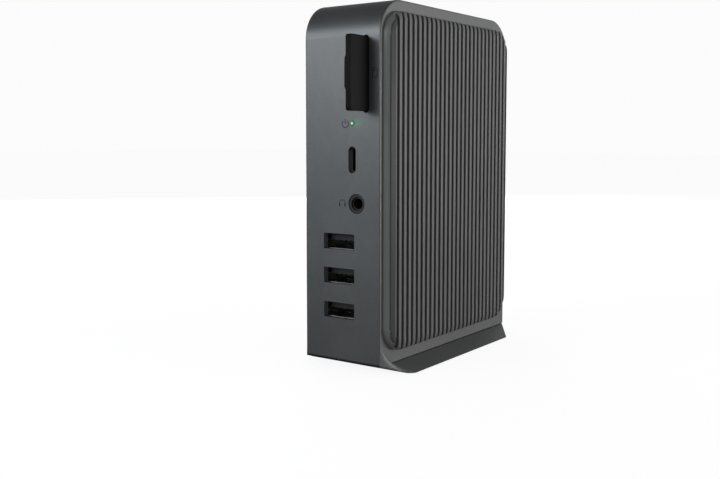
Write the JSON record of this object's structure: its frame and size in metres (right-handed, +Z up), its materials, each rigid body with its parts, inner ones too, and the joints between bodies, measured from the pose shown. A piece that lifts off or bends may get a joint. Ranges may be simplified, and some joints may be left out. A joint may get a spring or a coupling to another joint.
{
  "type": "usb hub",
  "caption": "Upright desktop USB hub: slate-grey metal case with vertically ribbed side covers on a flared foot, front and rear sockets, a status light and a slide-in memory card.",
  "frame": {"origin": "centre of the footprint where the rubber pad meets the desk, midway between the housing's front and rear faces", "axes": "+Z up, -Y towards the user ports, +Y towards the rear ports, +X towards the right-hand ribbed cover"},
  "size_m": [0.045, 0.0977, 0.1232],
  "materials": {
    "housing_shell": "satin slate grey paint",
    "rear_plate": "fine matt black",
    "ribbed_cover": "satin dark grey",
    "foot_shell": "satin slate grey paint",
    "pad_rubber": "matt",
    "screw_steel": "dark zinc",
    "frame_steel": "plain",
    "circuit_board": "green solder mask",
    "heat_block": "machined",
    "socket_shell": "nickel plated",
    "socket_insulator": "matt black",
    "contact_gold": "gold plated",
    "black_moulding": "matt black",
    "capacitor_can": "satin",
    "card_plastic": "matt black",
    "clear_pipe": "frosted",
    "lamp_body": "gloss"
  },
  "bodies": {
    "hub": {"audio_contact": "contact_gold", "audio_jack": "black_moulding", "base_foot": "foot_shell", "base_pad": "pad_rubber", "board_screws": "screw_steel", "capacitors": "capacitor_can", "card_reader": "socket_shell", "controller_chip": "black_moulding", "foot_screws": "screw_steel", "front_board": "circuit_board", "front_link": "black_moulding", "heat_spreader": "heat_block", "housing": "housing_shell", "inductors": "black_moulding", "light_pipe": "clear_pipe", "main_board": "circuit_board", "mid_frame": "frame_steel", "network_contacts": "contact_gold", "network_jack": "black_moulding", "power_inlet": "black_moulding", "power_pin": "contact_gold", "reader_board": "circuit_board", "reader_contacts": "contact_gold", "rear_board": "circuit_board", "rear_link": "black_moulding", "rear_panel": "rear_plate", "rear_screws": "screw_steel", "rear_usb_a_shell_1": "socket_shell", "rear_usb_a_shell_2": "socket_shell", "rear_usb_a_tongue_1": "socket_insulator", "rear_usb_a_tongue_2": "socket_insulator", "rear_usb_c_shell_1": "socket_shell", "rear_usb_c_shell_2": "socket_shell", "rear_usb_c_tongue_1": "socket_insulator", "rear_usb_c_tongue_2": "socket_insulator", "side_cover_left": "ribbed_cover", "side_cover_right": "ribbed_cover", "status_lamp": "lamp_body", "usb_a_contacts": "contact_gold", "usb_a_shell_1": "socket_shell", "usb_a_shell_2": "socket_shell", "usb_a_shell_3": "socket_shell", "usb_a_tongue_1": "socket_insulator", "usb_a_tongue_2": "socket_insulator", "usb_a_tongue_3": "socket_insulator", "usb_c_shell": "socket_shell", "usb_c_tongue": "socket_insulator", "video_chip": "black_moulding", "video_shell_1": "socket_shell", "video_shell_2": "socket_shell", "video_tongue_1": "socket_insulator", "video_tongue_2": "socket_insulator"},
    "card": {"memory_card": "card_plastic"}
  },
  "joints": [
    {"name": "card_slide", "type": "slide", "parent": "hub", "child": "card", "axis": [0, -1, 0], "range_m": [0, 0.021]}
  ]
}
